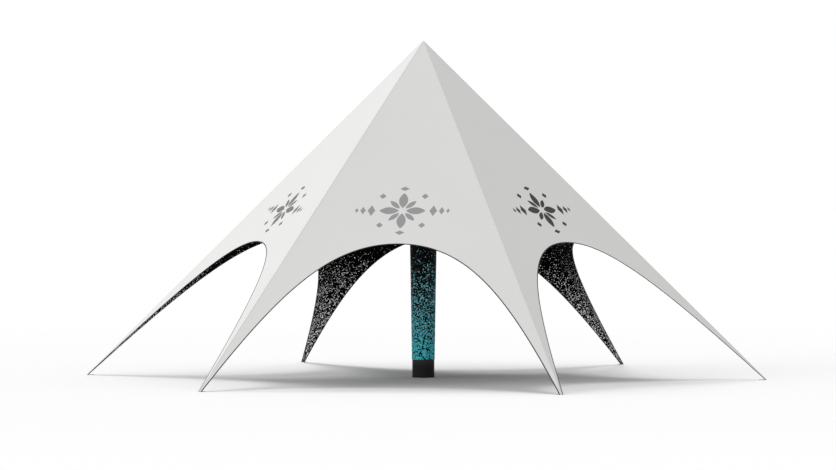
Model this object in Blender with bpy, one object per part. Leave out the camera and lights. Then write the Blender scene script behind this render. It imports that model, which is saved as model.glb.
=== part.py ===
"""A six-pointed star tent: six flat gores of cloth over one centre mast.

Metres, +Z up. The origin is on the ground below the peak. The first leg points along +X, and the
front gore faces -Y between two legs. A point of a gore is given by s, its distance along the
ground line between the gore's two leg tips, by t, its distance up the slope, and by depth, its
distance under the gore's outer face.
"""

import math

import bmesh
import bpy
from mathutils import Matrix, Vector

# Driving sizes of the pyramid
LEG_RADIUS = 5.0
PEAK_HEIGHT = 4.9
LEG_NAMES = ("right", "back_right", "back_left", "left", "front_left", "front_right")
GORE_NAMES = ("back_right", "back", "back_left", "front_left", "front", "front_right")
LEG_STEP = math.tau / len(LEG_NAMES)
HALF_STEP = LEG_STEP / 2

# The arch: one cubic curve from its crown to the ground on each side
ARCH_CROWN = 2.675
ARCH_FOOT = 2.481
CROWN_PULL = 0.988
FOOT_PULL = 1.93
FOOT_STEEPNESS = 2.005
ARCH_STEPS = 26

# Cloth, webbing and the small gaps between neighbours
CLOTH = 0.003
TOUCH = 0.0003
SEAM_GAP = 0.0003
GROUND_LIFT = 0.003
PEAK_TRIM = 0.0065
BINDING_RADIUS = 0.0065
BINDING_FOOT = 0.012
BINDING_SIDES = 2
STRAP = 0.0025
STRAP_HALF = 0.018
PATCH = 0.002
PATCH_DROP = 0.46

# The steel fitting at each leg tip
TONGUE = 0.003
TONGUE_HALF = 0.016
TONGUE_LOW = 0.002
TONGUE_HIGH = 0.07
PLATE = 0.005
PLATE_SETBACK = 0.003
PLATE_NOSE = 0.013
PLATE_HALF = 0.03
PLATE_SHOULDER = 0.032
PLATE_LENGTH = 0.1
PLATE_CORNER = 0.008
PEG_HOLE_RADIUS = 0.014
PEG_HOLE_BACK = 0.065

# The mast
MAST_SIDES = 32
LOWER_RADIUS = 0.04
UPPER_RADIUS = 0.035
TUBE_WALL = 0.003
FOOT_RADIUS = 0.15
FOOT_THICK = 0.008
FOOT_EDGE = 0.002
SPIGOT = 0.06
SPIGOT_ROOT = 0.01
LOWER_TOP = 2.55
UPPER_BOTTOM = 1.95
COLLAR_RADIUS = 0.052
COLLAR_REACH = 0.07
COLLAR_EDGE = 0.004
HEAD_DROP = 0.16

# The base drum, the sleeve and the sleeve's ring
COVER_SIDES = 64
DRUM_RADIUS = 0.161
DRUM_WALL = 0.004
DRUM_TOP = 0.264
LID = 0.008
SLEEVE_FOOT_RADIUS = 0.1664
SLEEVE_TAPER = 0.0173
SLEEVE_CLOTH = 0.002
SLEEVE_TOP = 4.31
RING_DROP = 0.025
RING_HIGH = 0.02
RING_WIDE = 0.01
HUB_RADIUS = 0.05
HUB_HIGH = 0.05
SPOKES = 3
SPOKE_WIDE = 0.012
SPOKE_HIGH = 0.008

# What follows from the driving sizes
INRADIUS = LEG_RADIUS * math.cos(HALF_STEP)
SLOPE = math.atan2(PEAK_HEIGHT, INRADIUS)
SLOPE_LENGTH = math.hypot(PEAK_HEIGHT, INRADIUS)
STRAP_DEPTH = CLOTH + TOUCH
TONGUE_DEPTH = STRAP_DEPTH + STRAP + TOUCH
HEAD_DEPTH = STRAP_DEPTH + PATCH + TOUCH
PATCH_LOW = PEAK_HEIGHT - PATCH_DROP
HEAD_LOW = PEAK_HEIGHT - HEAD_DROP


def clear_scene():
    for old in list(bpy.data.objects):
        bpy.data.objects.remove(old, do_unlink=True)


def material(name, colour, roughness, metallic=0.0):
    """A plain surface; the colour is linear red, green and blue."""
    made = bpy.data.materials.new(name)
    made.use_nodes = True
    shader = made.node_tree.nodes["Principled BSDF"]
    shader.inputs["Base Color"].default_value = (*colour, 1.0)
    shader.inputs["Roughness"].default_value = roughness
    shader.inputs["Metallic"].default_value = metallic
    return made


def canopy_cloth():
    return material("canopy_cloth", (0.72, 0.72, 0.71), 0.75)


def binding_tape():
    return material("binding_tape", (0.012, 0.012, 0.012), 0.8)


def strap_webbing():
    return material("strap_webbing", (0.02, 0.02, 0.021), 0.85)


def lining_cloth():
    return material("lining_cloth", (0.015, 0.015, 0.016), 0.85)


def galvanised_steel():
    return material("galvanised_steel", (0.46, 0.47, 0.48), 0.45, 1.0)


def mast_alloy():
    return material("mast_alloy", (0.56, 0.57, 0.58), 0.35, 1.0)


def moulded_plastic():
    return material("moulded_plastic", (0.01, 0.01, 0.01), 0.5)


def sleeve_cloth():
    return material("sleeve_cloth", (0.02, 0.24, 0.27), 0.7)


def add_object(name, data, finish, bearing=0.0):
    """Place a shape, turned about the mast's axis, under the empty that stands at the origin."""
    placed = bpy.data.objects.new(name, data)
    placed.rotation_euler.z = bearing
    placed.parent = bpy.data.objects["star_tent"]
    if not data.materials:
        data.materials.append(finish)
    bpy.context.collection.objects.link(placed)
    return placed


def mesh_from(bm, name, sharp_angle=None):
    bmesh.ops.recalc_face_normals(bm, faces=bm.faces)
    made = bpy.data.meshes.new(name)
    bm.to_mesh(made)
    bm.free()
    if sharp_angle is not None:
        made.shade_smooth()
        made.set_sharp_from_angle(angle=math.radians(sharp_angle))
    return made


def loft(name, sections):
    """A closed solid through sections that have the same number of points."""
    bm = bmesh.new()
    rows = [[bm.verts.new(point) for point in section] for section in sections]
    count = len(rows[0])
    for low, high in zip(rows, rows[1:]):
        for k in range(count):
            after = (k + 1) % count
            bm.faces.new((low[k], low[after], high[after], high[k]))
    bm.faces.new(rows[0])
    bm.faces.new(rows[-1])
    return mesh_from(bm, name)


def turned(name, profile, sides):
    """Turn a profile of (radius, height) points once round the Z axis.

    A profile that starts and ends on the axis is open; any other one is closed.
    """
    bm = bmesh.new()
    verts = [bm.verts.new((radius, 0.0, height)) for radius, height in profile]
    pairs = list(zip(verts, verts[1:]))
    if profile[0][0] > 0.0:
        pairs.append((verts[-1], verts[0]))
    edges = [bm.edges.new(pair) for pair in pairs]
    bmesh.ops.spin(
        bm,
        geom=verts + edges,
        cent=(0.0, 0.0, 0.0),
        axis=(0.0, 0.0, 1.0),
        angle=math.tau,
        steps=sides,
        use_duplicate=False,
    )
    bmesh.ops.remove_doubles(bm, verts=bm.verts, dist=0.00001)
    return mesh_from(bm, name, sharp_angle=30)


def combined(name, base, tools):
    """Join or cut the base mesh with other meshes; tools holds (mesh, operation) pairs."""
    body = bpy.data.objects.new(name, base)
    bpy.context.collection.objects.link(body)
    helpers = []
    for mesh, operation in tools:
        helper = bpy.data.objects.new("helper", mesh)
        helper.hide_render = True
        helper.display_type = "WIRE"
        bpy.context.collection.objects.link(helper)
        helpers.append(helper)
        step = body.modifiers.new(operation.lower(), "BOOLEAN")
        step.operation = operation
        step.object = helper
    evaluated = body.evaluated_get(bpy.context.evaluated_depsgraph_get())
    made = bpy.data.meshes.new_from_object(evaluated)
    for used in [body, *helpers]:
        bpy.data.objects.remove(used, do_unlink=True)
    made.name = name
    return made


def gore_point(s, t, depth):
    """A gore's own coordinates to metres, for the gore that faces +X."""
    out = INRADIUS - t * math.cos(SLOPE) - depth * math.sin(SLOPE)
    up = t * math.sin(SLOPE) - depth * math.cos(SLOPE)
    return Vector((out, s, up))


def slope_distance(height, depth):
    """The t at which a layer at this depth has this height."""
    return (height + depth * math.cos(SLOPE)) / math.sin(SLOPE)


def ridge_limit(t, depth):
    """How far from its middle a gore's layer meets the upright plane through the ridge."""
    return gore_point(0.0, t, depth).x * math.tan(HALF_STEP)


def arch_curve(step):
    """Position and direction on the right half of the arch; step runs from 0, crown, to 1."""
    reach = math.hypot(1.0, FOOT_STEEPNESS)
    crown = Vector((0.0, ARCH_CROWN))
    crown_handle = Vector((CROWN_PULL, ARCH_CROWN))
    foot = Vector((ARCH_FOOT, 0.0))
    foot_handle = foot + Vector((-1.0, FOOT_STEEPNESS)) * (FOOT_PULL / reach)
    back = 1.0 - step
    place = (
        crown * back**3
        + crown_handle * 3.0 * back**2 * step
        + foot_handle * 3.0 * back * step**2
        + foot * step**3
    )
    heading = (
        (crown_handle - crown) * back**2
        + (foot_handle - crown_handle) * 2.0 * back * step
        + (foot - foot_handle) * step**2
    )
    return place, heading.normalized()


def arch_foot(t):
    """How far from the middle the arch is close to the ground, where it runs straight."""
    return ARCH_FOOT - t / FOOT_STEEPNESS


def gore_outline(depth):
    """The (s, t) outline of a gore's layer, cut along both ridges, the ground and the arch."""
    seam = SEAM_GAP / 2.0 / math.cos(HALF_STEP)
    top = SLOPE_LENGTH - PEAK_TRIM
    low = slope_distance(GROUND_LIFT, depth)
    right = [
        (ridge_limit(top, depth) - seam, top),
        (ridge_limit(low, depth) - seam, low),
        (arch_foot(low), low),
    ]
    for k in range(ARCH_STEPS - 1, 0, -1):
        place, _ = arch_curve(k / ARCH_STEPS)
        right.append((place.x, place.y))
    left = [(-s, t) for s, t in reversed(right)]
    return right + [(0.0, ARCH_CROWN)] + left


def gore_mesh():
    layers = []
    for depth in (0.0, CLOTH):
        layers.append([gore_point(s, t, depth) for s, t in gore_outline(depth)])
    return loft("gore", layers)


def binding_curve():
    """The bound edge: a round line just outside the cut edge, from foot to foot."""
    depth = CLOTH / 2.0
    offset = BINDING_RADIUS + TOUCH
    low = slope_distance(BINDING_FOOT, depth)
    right = []
    for k in range(ARCH_STEPS):
        place, heading = arch_curve(k / ARCH_STEPS)
        right.append(place + Vector((heading.y, -heading.x)) * offset)
    _, heading = arch_curve(1.0)
    right.append(Vector((arch_foot(low), low)) + Vector((heading.y, -heading.x)) * offset)
    route = [Vector((-p.x, p.y)) for p in reversed(right[1:])] + right
    curve = bpy.data.curves.new("binding", "CURVE")
    curve.dimensions = "3D"
    curve.bevel_depth = BINDING_RADIUS
    curve.bevel_resolution = BINDING_SIDES
    curve.use_fill_caps = True
    line = curve.splines.new("POLY")
    line.points.add(len(route) - 1)
    for point, place in zip(line.points, route):
        point.co = (*gore_point(place.x, place.y, depth), 1.0)
    return curve


def under_ridge(side, inset, height, depth):
    """A point under the ridge over +X: inset is measured from the ridge along the gore."""
    t = slope_distance(height, depth)
    out = gore_point(0.0, t, depth).x
    across = inset - ridge_limit(t, depth)
    x = out * math.cos(HALF_STEP) - across * math.sin(HALF_STEP)
    y = out * math.sin(HALF_STEP) + across * math.cos(HALF_STEP)
    return Vector((x, side * y, height))


def folded_strip(name, depth, thick, half, low, high):
    """A strip that is folded along the ridge and lies under both gores, cut level at its ends."""
    sections = []
    for height in (low, high):
        inner = depth + thick
        sections.append(
            [
                under_ridge(1, 0.0, height, depth),
                under_ridge(1, half, height, depth),
                under_ridge(1, half, height, inner),
                under_ridge(1, 0.0, height, inner),
                under_ridge(-1, half, height, inner),
                under_ridge(-1, half, height, depth),
            ]
        )
    return loft(name, sections)


def strap_mesh():
    top = PATCH_LOW - TOUCH
    return folded_strip("ridge_strap", STRAP_DEPTH, STRAP, STRAP_HALF, GROUND_LIFT, top)


def tip_fitting_mesh():
    """A folded tongue behind the strap's end, joined to a flat plate with a peg hole."""
    tongue = folded_strip(
        "tongue", TONGUE_DEPTH, TONGUE, TONGUE_HALF, TONGUE_LOW, TONGUE_HIGH
    )
    front = under_ridge(1, 0.0, 0.0, TONGUE_DEPTH + TONGUE).x - PLATE_SETBACK
    nose_back = front - PLATE_NOSE * math.tan(HALF_STEP)
    right = [
        (nose_back, PLATE_NOSE),
        (front - PLATE_SHOULDER, PLATE_HALF),
        (front - PLATE_LENGTH + PLATE_CORNER, PLATE_HALF),
        (front - PLATE_LENGTH, PLATE_HALF - PLATE_CORNER),
    ]
    outline = [(front, 0.0), *right, *[(x, -y) for x, y in reversed(right)]]
    plate = loft(
        "tip_plate",
        [[Vector((x, y, height)) for x, y in outline] for height in (0.0, PLATE)],
    )
    hole = turned(
        "peg_hole",
        [(0.0, -PLATE), (PEG_HOLE_RADIUS, -PLATE), (PEG_HOLE_RADIUS, 2 * PLATE), (0.0, 2 * PLATE)],
        MAST_SIDES,
    )
    hole.transform(Matrix.Translation((front - PEG_HOLE_BACK, 0.0, 0.0)))
    return combined("tip_fitting", plate, [(tongue, "UNION"), (hole, "DIFFERENCE")])


def pyramid_ring(depth, height):
    """The six corners of the pyramid's layer at this depth and height."""
    reach = under_ridge(1, 0.0, height, depth).x
    ring = []
    for k in range(len(LEG_NAMES)):
        ring.append(Vector((reach * math.cos(k * LEG_STEP), reach * math.sin(k * LEG_STEP), height)))
    return ring


def pyramid_peak(depth):
    return Vector((0.0, 0.0, PEAK_HEIGHT - depth / math.cos(SLOPE)))


def close_to_peak(bm, ring, peak):
    tip = bm.verts.new(peak)
    for k, corner in enumerate(ring):
        bm.faces.new((corner, ring[(k + 1) % len(ring)], tip))


def crown_patch_mesh():
    """Doubled cloth under the peak, open below."""
    bm = bmesh.new()
    rings = []
    for depth in (STRAP_DEPTH, STRAP_DEPTH + PATCH):
        ring = [bm.verts.new(point) for point in pyramid_ring(depth, PATCH_LOW)]
        close_to_peak(bm, ring, pyramid_peak(depth))
        rings.append(ring)
    outer, inner = rings
    for k, corner in enumerate(outer):
        after = (k + 1) % len(outer)
        bm.faces.new((corner, outer[after], inner[after], inner[k]))
    return mesh_from(bm, "crown_patch")


def mast_head_mesh():
    """A six-sided cap that fills the peak, with a spigot that drops into the upper tube."""
    bm = bmesh.new()
    ring = [bm.verts.new(point) for point in pyramid_ring(HEAD_DEPTH, HEAD_LOW)]
    close_to_peak(bm, ring, pyramid_peak(HEAD_DEPTH))
    bm.faces.new(ring)
    cap = mesh_from(bm, "cap")
    radius = UPPER_RADIUS - TUBE_WALL - TOUCH
    low = HEAD_LOW - SPIGOT
    high = HEAD_LOW + SPIGOT_ROOT
    spigot = turned("spigot", [(0.0, low), (radius, low), (radius, high), (0.0, high)], MAST_SIDES)
    return combined("mast_head", cap, [(spigot, "UNION")])


def tube_mesh(name, radius, low, high):
    inner = radius - TUBE_WALL
    profile = [(inner, low), (radius, low), (radius, high), (inner, high)]
    return turned(name, profile, MAST_SIDES)


def mast_foot_mesh():
    spigot = LOWER_RADIUS - TUBE_WALL - TOUCH
    profile = [
        (0.0, 0.0),
        (FOOT_RADIUS, 0.0),
        (FOOT_RADIUS, FOOT_THICK - FOOT_EDGE),
        (FOOT_RADIUS - FOOT_EDGE, FOOT_THICK),
        (spigot, FOOT_THICK),
        (spigot, FOOT_THICK + SPIGOT),
        (0.0, FOOT_THICK + SPIGOT),
    ]
    return turned("mast_foot", profile, MAST_SIDES)


def mast_collar_mesh():
    """A clamp with a step inside: it grips the lower tube's end and the upper tube."""
    low = LOWER_TOP - COLLAR_REACH
    high = LOWER_TOP + COLLAR_REACH
    step = LOWER_TOP + TOUCH
    profile = [
        (LOWER_RADIUS + TOUCH, low),
        (COLLAR_RADIUS - COLLAR_EDGE, low),
        (COLLAR_RADIUS, low + COLLAR_EDGE),
        (COLLAR_RADIUS, high - COLLAR_EDGE),
        (COLLAR_RADIUS - COLLAR_EDGE, high),
        (UPPER_RADIUS + TOUCH, high),
        (UPPER_RADIUS + TOUCH, step),
        (LOWER_RADIUS + TOUCH, step),
    ]
    return turned("mast_collar", profile, MAST_SIDES)


def base_drum_mesh():
    inner = DRUM_RADIUS - DRUM_WALL
    profile = [(inner, 0.0), (DRUM_RADIUS, 0.0), (DRUM_RADIUS, DRUM_TOP), (inner, DRUM_TOP)]
    return turned("base_drum", profile, COVER_SIDES)


def sleeve_radius(height):
    """The sleeve's outer radius, which grows evenly from the drum upwards."""
    return SLEEVE_FOOT_RADIUS + SLEEVE_TAPER * (height - DRUM_TOP)


def base_lid_mesh():
    """A flat ring that closes the drum and spreads the sleeve's lower edge."""
    low = DRUM_TOP + TOUCH
    high = low + LID
    outer = sleeve_radius(low) - SLEEVE_CLOTH - TOUCH
    inner = LOWER_RADIUS + TOUCH
    profile = [(inner, low), (outer, low), (outer, high), (inner, high)]
    return turned("base_lid", profile, COVER_SIDES)


def sleeve_mesh():
    foot = sleeve_radius(DRUM_TOP)
    top = sleeve_radius(SLEEVE_TOP)
    profile = [
        (foot - SLEEVE_CLOTH, DRUM_TOP),
        (foot, DRUM_TOP),
        (top, SLEEVE_TOP),
        (top - SLEEVE_CLOTH, SLEEVE_TOP),
    ]
    return turned("sleeve", profile, COVER_SIDES)


def spoke_mesh(bearing, inner, outer, middle):
    bm = bmesh.new()
    bmesh.ops.create_cube(bm, size=1.0)
    bmesh.ops.scale(bm, vec=(outer - inner, SPOKE_WIDE, SPOKE_HIGH), verts=bm.verts)
    bmesh.ops.translate(bm, vec=((outer + inner) / 2.0, 0.0, middle), verts=bm.verts)
    turn = Matrix.Rotation(bearing, 3, "Z")
    bmesh.ops.rotate(bm, cent=(0.0, 0.0, 0.0), matrix=turn, verts=bm.verts)
    return mesh_from(bm, "spoke")


def sleeve_top_ring_mesh():
    """A ring inside the sleeve's upper edge, three spokes and a hub on the upper tube."""
    low = SLEEVE_TOP - RING_DROP
    high = low + RING_HIGH
    middle = (low + high) / 2.0
    outer = sleeve_radius(low) - SLEEVE_CLOTH - TOUCH
    inner = outer - RING_WIDE
    ring = turned("ring", [(inner, low), (outer, low), (outer, high), (inner, high)], COVER_SIDES)
    bore = UPPER_RADIUS + TOUCH
    half = HUB_HIGH / 2.0
    hub = turned(
        "hub",
        [
            (bore, middle - half),
            (HUB_RADIUS, middle - half),
            (HUB_RADIUS, middle + half),
            (bore, middle + half),
        ],
        MAST_SIDES,
    )
    start = (bore + HUB_RADIUS) / 2.0
    end = (inner + outer) / 2.0
    tools = [(hub, "UNION")]
    for k in range(SPOKES):
        bearing = math.tau * k / SPOKES + HALF_STEP
        tools.append((spoke_mesh(bearing, start, end, middle), "UNION"))
    return combined("sleeve_top_ring", ring, tools)


def build_canopy():
    gore = gore_mesh()
    binding = binding_curve()
    cloth = canopy_cloth()
    tape = binding_tape()
    for k, name in enumerate(GORE_NAMES):
        bearing = HALF_STEP + k * LEG_STEP
        add_object(f"canopy_gore_{name}", gore, cloth, bearing)
        add_object(f"edge_binding_{name}", binding, tape, bearing)


def build_legs():
    strap = strap_mesh()
    fitting = tip_fitting_mesh()
    webbing = strap_webbing()
    steel = galvanised_steel()
    for k, name in enumerate(LEG_NAMES):
        bearing = k * LEG_STEP
        add_object(f"ridge_strap_{name}", strap, webbing, bearing)
        add_object(f"tip_fitting_{name}", fitting, steel, bearing)


def build_mast():
    alloy = mast_alloy()
    plastic = moulded_plastic()
    foot_top = FOOT_THICK + TOUCH
    lower = tube_mesh("mast_lower_tube", LOWER_RADIUS, foot_top, LOWER_TOP)
    upper = tube_mesh("mast_upper_tube", UPPER_RADIUS, UPPER_BOTTOM, HEAD_LOW - TOUCH)
    add_object("mast_foot", mast_foot_mesh(), bpy.data.materials["galvanised_steel"])
    add_object("mast_lower_tube", lower, alloy)
    add_object("mast_upper_tube", upper, alloy)
    add_object("mast_collar", mast_collar_mesh(), plastic)
    add_object("mast_head", mast_head_mesh(), plastic)
    add_object("crown_patch", crown_patch_mesh(), lining_cloth())


def build_covers():
    plastic = bpy.data.materials["moulded_plastic"]
    add_object("base_drum", base_drum_mesh(), plastic)
    add_object("base_lid", base_lid_mesh(), plastic)
    add_object("sleeve", sleeve_mesh(), sleeve_cloth())
    add_object("sleeve_top_ring", sleeve_top_ring_mesh(), bpy.data.materials["mast_alloy"])


def main():
    clear_scene()
    bpy.context.collection.objects.link(bpy.data.objects.new("star_tent", None))
    build_canopy()
    build_legs()
    build_mast()
    build_covers()


main()
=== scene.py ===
"""Looks of the star tent, in metres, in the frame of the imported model.

A point of a gore is given by s, along the ground line between its two leg tips, t, up the slope,
and depth, under its outer face. Bearings are measured about the mast from +X.
"""

import math

import bmesh
import bpy
import numpy as np
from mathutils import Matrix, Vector
from mathutils.geometry import delaunay_2d_cdt


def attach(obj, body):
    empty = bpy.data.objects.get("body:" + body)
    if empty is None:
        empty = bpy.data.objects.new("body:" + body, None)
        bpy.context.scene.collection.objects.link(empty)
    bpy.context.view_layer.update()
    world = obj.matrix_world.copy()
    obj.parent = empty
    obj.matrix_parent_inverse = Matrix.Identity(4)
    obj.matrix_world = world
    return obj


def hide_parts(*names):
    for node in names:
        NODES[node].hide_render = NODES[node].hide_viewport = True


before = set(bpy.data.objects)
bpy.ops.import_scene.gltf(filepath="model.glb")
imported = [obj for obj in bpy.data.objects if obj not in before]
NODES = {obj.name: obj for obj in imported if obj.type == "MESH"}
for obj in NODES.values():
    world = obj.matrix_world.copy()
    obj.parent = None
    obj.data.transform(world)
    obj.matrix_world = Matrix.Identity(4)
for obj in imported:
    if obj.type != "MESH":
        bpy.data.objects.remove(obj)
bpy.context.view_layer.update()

# The pyramid and its arches, as the frame has them
LEG_RADIUS = 5.0
PEAK = 4.9
LEGS = ("right", "back_right", "back_left", "left", "front_left", "front_right")
GORES = ("back_right", "back", "back_left", "front_left", "front", "front_right")
STEP = math.tau / 6
HALF_STEP = STEP / 2
LEG_BEARINGS = tuple(k * STEP for k in range(6))
GORE_BEARINGS = tuple(HALF_STEP + k * STEP for k in range(6))
INRADIUS = LEG_RADIUS * math.cos(HALF_STEP)
SLOPE = math.atan2(PEAK, INRADIUS)
SLOPE_LENGTH = math.hypot(PEAK, INRADIUS)
ARCH_CROWN = 2.675
ARCH_FOOT = 2.481
CROWN_PULL = 0.988
FOOT_PULL = 1.93
FOOT_STEEPNESS = 2.005

# Cloth and thread
CLOTH = 0.0026
SAG = 0.014
CLEAR_OF_GROUND = 0.0006
STITCH_PITCH = 0.0085
STITCH_FOOT = 0.02

# Flecks: how fine they are, and (height, threshold) points, where a higher threshold leaves fewer
FLECK_SCALE = 52.0
FLECK_EDGE = 0.012
# The lining's flecks thin out with height: painted shade under the roof.
LINING_FLECKS_AND_SHADE = (
    (0.0, 0.56),
    (0.71, 0.608),
    (1.06, 0.63),
    (1.35, 0.676),
    (1.51, 0.7),
    (1.72, 0.745),
    (3.0, 0.8),
)
# The sleeve's teal gives way to black flecks with height: painted shade under the roof.
SLEEVE_FLECKS_AND_SHADE = (
    (0.0, 0.455),
    (0.4, 0.465),
    (0.76, 0.512),
    (1.05, 0.57),
    (1.34, 0.612),
    (1.56, 0.655),
    (1.78, 0.725),
    (4.3, 0.8),
)


# Gore coordinates


def gore_xyz(s, t, depth, bearing):
    """Arrays of gore coordinates to an array of points."""
    out = INRADIUS - t * math.cos(SLOPE) - depth * math.sin(SLOPE)
    up = t * math.sin(SLOPE) - depth * math.cos(SLOPE)
    x = out * math.cos(bearing) - s * math.sin(bearing)
    y = out * math.sin(bearing) + s * math.cos(bearing)
    return np.stack([x, y, up + 0.0 * x], axis=-1)


def ridge_s(t, depth=0.0):
    """How far the ridge is from a gore's middle, at t and depth."""
    return (INRADIUS - t * math.cos(SLOPE) - depth * math.sin(SLOPE)) * math.tan(HALF_STEP)


def slope_t(height, depth=0.0):
    """The t at which a gore reaches a height, at depth."""
    return (height + depth * math.cos(SLOPE)) / math.sin(SLOPE)


def beside_ridge(t, side, inset, depth=0.0):
    """Gore points and directions at an inset from the gore's ridge on one side, -1 or 1."""
    line = np.stack([side * (ridge_s(t, depth) - inset), t], 1)
    turn = np.tile([-side * math.cos(SLOPE) * math.tan(HALF_STEP), 1.0], (len(t), 1))
    return line, turn


def under_ridge(side, inset, height, depth, bearing):
    """Points under the ridge over a bearing; inset is measured from the ridge along the gore."""
    t = slope_t(height, depth)
    out = INRADIUS - t * math.cos(SLOPE) - depth * math.sin(SLOPE)
    across = inset - out * math.tan(HALF_STEP)
    x = out * math.cos(HALF_STEP) - across * math.sin(HALF_STEP)
    y = side * (out * math.sin(HALF_STEP) + across * math.cos(HALF_STEP))
    c, s = math.cos(bearing), math.sin(bearing)
    return np.stack([x * c - y * s, x * s + y * c, height + 0.0 * x], -1)


def gore_normal(bearing):
    """The unit direction out of a gore's outer face."""
    level = math.sin(SLOPE)
    return np.array([math.cos(bearing) * level, math.sin(bearing) * level, math.cos(SLOPE)])


def run_along(line):
    """The way along a line from its first point to each of its points."""
    steps = np.linalg.norm(np.diff(line, axis=0), axis=1)
    return np.concatenate([[0.0], np.cumsum(steps)])


def arch(u):
    """Points and unit directions on the right half of the arch, from the crown (0) to the foot (1)."""
    u = np.asarray(u, float)[:, None]
    down = np.array([-1.0, FOOT_STEEPNESS]) / math.hypot(1.0, FOOT_STEEPNESS)
    crown = np.array([0.0, ARCH_CROWN])
    crown_pull = np.array([CROWN_PULL, ARCH_CROWN])
    foot = np.array([ARCH_FOOT, 0.0])
    foot_pull = foot + down * FOOT_PULL
    v = 1.0 - u
    place = crown * v**3 + 3 * crown_pull * v**2 * u + 3 * foot_pull * v * u**2 + foot * u**3
    heading = (crown_pull - crown) * v**2 + 2 * (foot_pull - crown_pull) * v * u + (foot - foot_pull) * u**2
    return place, heading / np.linalg.norm(heading, axis=1, keepdims=True)


def even_arch(pitch, low_t):
    """Evenly spaced points and directions on the whole arch, left foot to right foot."""
    samples = 1500
    place, heading = arch(np.linspace(0.0, 1.0, samples))
    keep = place[:, 1] >= low_t
    foot = np.array([[ARCH_FOOT - low_t / FOOT_STEEPNESS, low_t]])
    place = np.vstack([place[keep], foot])
    heading = np.vstack([heading[keep], heading[keep][-1:]])
    run = run_along(place)
    count = max(2, int(round(run[-1] / pitch)))
    at = np.linspace(0.0, run[-1], count + 1)
    right = np.stack([np.interp(at, run, place[:, k]) for k in range(2)], 1)
    turn = np.stack([np.interp(at, run, heading[:, k]) for k in range(2)], 1)
    turn /= np.linalg.norm(turn, axis=1, keepdims=True)
    left = right[:0:-1] * [-1, 1]
    left_turn = turn[:0:-1] * [1, -1]
    return np.vstack([left, right]), np.vstack([left_turn, turn])


def towards_opening(turn):
    """The unit directions from the cloth into its arch, square to the directions along its edge."""
    return np.stack([turn[:, 1], -turn[:, 0]], 1)


# Mesh helpers


def new_mesh(name, points, faces, materials, tones=None, uv=None, smooth=True):
    """A mesh object; uv holds one (u, v) per vertex, tones one material index per face."""
    mesh = bpy.data.meshes.new(name)
    mesh.from_pydata([tuple(map(float, p)) for p in points], [], [tuple(map(int, f)) for f in faces])
    if uv is not None:
        loops = np.zeros(len(mesh.loops), int)
        mesh.loops.foreach_get("vertex_index", loops)
        layer = mesh.uv_layers.new(name="UVMap")
        layer.data.foreach_set("uv", np.asarray(uv, np.float32)[loops].ravel())
    for material in materials:
        mesh.materials.append(material)
    if tones is not None:
        mesh.polygons.foreach_set("material_index", np.asarray(tones, np.int32))
    mesh.validate()
    if smooth:
        mesh.shade_smooth()
    made = bpy.data.objects.new(name, mesh)
    bpy.context.scene.collection.objects.link(made)
    return made


def turn_outward(made, sharp=None, merge=None):
    """Turn a closed mesh's faces outward.

    Points nearer than merge become one, and edges that bend by more than sharp degrees stay sharp.
    """
    bm = bmesh.new()
    bm.from_mesh(made.data)
    if merge is not None:
        bmesh.ops.remove_doubles(bm, verts=bm.verts, dist=merge)
    bmesh.ops.recalc_face_normals(bm, faces=bm.faces)
    bm.to_mesh(made.data)
    bm.free()
    if sharp is not None:
        made.data.set_sharp_from_angle(angle=math.radians(sharp))
    return made


def pairs(count, closed=True):
    """Each of a row's numbers with the next one, and the last one with the first in a closed row."""
    found = [(k, k + 1) for k in range(count - 1)]
    return found + [(count - 1, 0)] if closed else found


def tube_faces(rows, around, closed=True):
    """Quads that join rows of equal length; closed joins each row's ends."""
    faces = []
    for low in range(0, (rows - 1) * around, around):
        high = low + around
        faces += [(low + a, low + b, high + b, high + a) for a, b in pairs(around, closed)]
    return faces


def doubled_faces(rows, around):
    """Quads of an outer tube, and of an inner one whose points come after the outer's."""
    outer = tube_faces(rows, around)
    shift = rows * around
    return outer + [tuple(k + shift for k in face[::-1]) for face in outer]


def swept(rows):
    """Points and faces of a closed profile swept through rows, an array (rows, around, 3)."""
    count, around = rows.shape[:2]
    faces = tube_faces(count, around)
    faces.append(tuple(range(around - 1, -1, -1)))
    faces.append(tuple(range((count - 1) * around, count * around)))
    return rows.reshape(-1, 3), faces


def swept_uv(around, along):
    """A (u, v) for each point of rows: each row has the same u values and one v."""
    return np.stack([np.tile(around, len(along)), np.repeat(along, len(around))], 1)


def round_points(radius, bearing, height):
    """Points about the mast's axis, from numbers or arrays that fit each other."""
    radius, bearing, height = np.broadcast_arrays(radius, bearing, height)
    return np.stack([radius * np.cos(bearing), radius * np.sin(bearing), height], -1)


def lathe(name, profile, sides, material, sharp):
    """Turn a closed profile of (radius, height) points about the mast's axis."""
    profile = np.array(profile, float)
    turn = np.linspace(0.0, math.tau, sides, endpoint=False)
    points = round_points(profile[:, 0], turn[:, None], profile[:, 1]).reshape(-1, 3)
    around = len(profile)
    faces = []
    for row, next_row in pairs(sides):
        low, high = row * around, next_row * around
        faces += [(low + a, high + a, high + b, low + b) for a, b in pairs(around)]
    uv = swept_uv(profile[:, 1], turn * profile[:, 0].max())[:, ::-1]
    return turn_outward(new_mesh(name, points, faces, [material], uv=uv), sharp)


class Pile:
    """Collects points, faces and uvs of many small shapes into one mesh."""

    def __init__(self):
        self.points, self.faces, self.uvs, self.count = [], [], [], 0

    def add(self, points, faces, uv=None):
        points = np.asarray(points, float)
        self.faces.extend(tuple(k + self.count for k in face) for face in faces)
        self.points.append(points)
        self.uvs.append(np.zeros((len(points), 2)) if uv is None else np.asarray(uv, float))
        self.count += len(points)

    def object(self, name, material):
        return new_mesh(name, np.vstack(self.points), self.faces, [material], uv=np.vstack(self.uvs))


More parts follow.
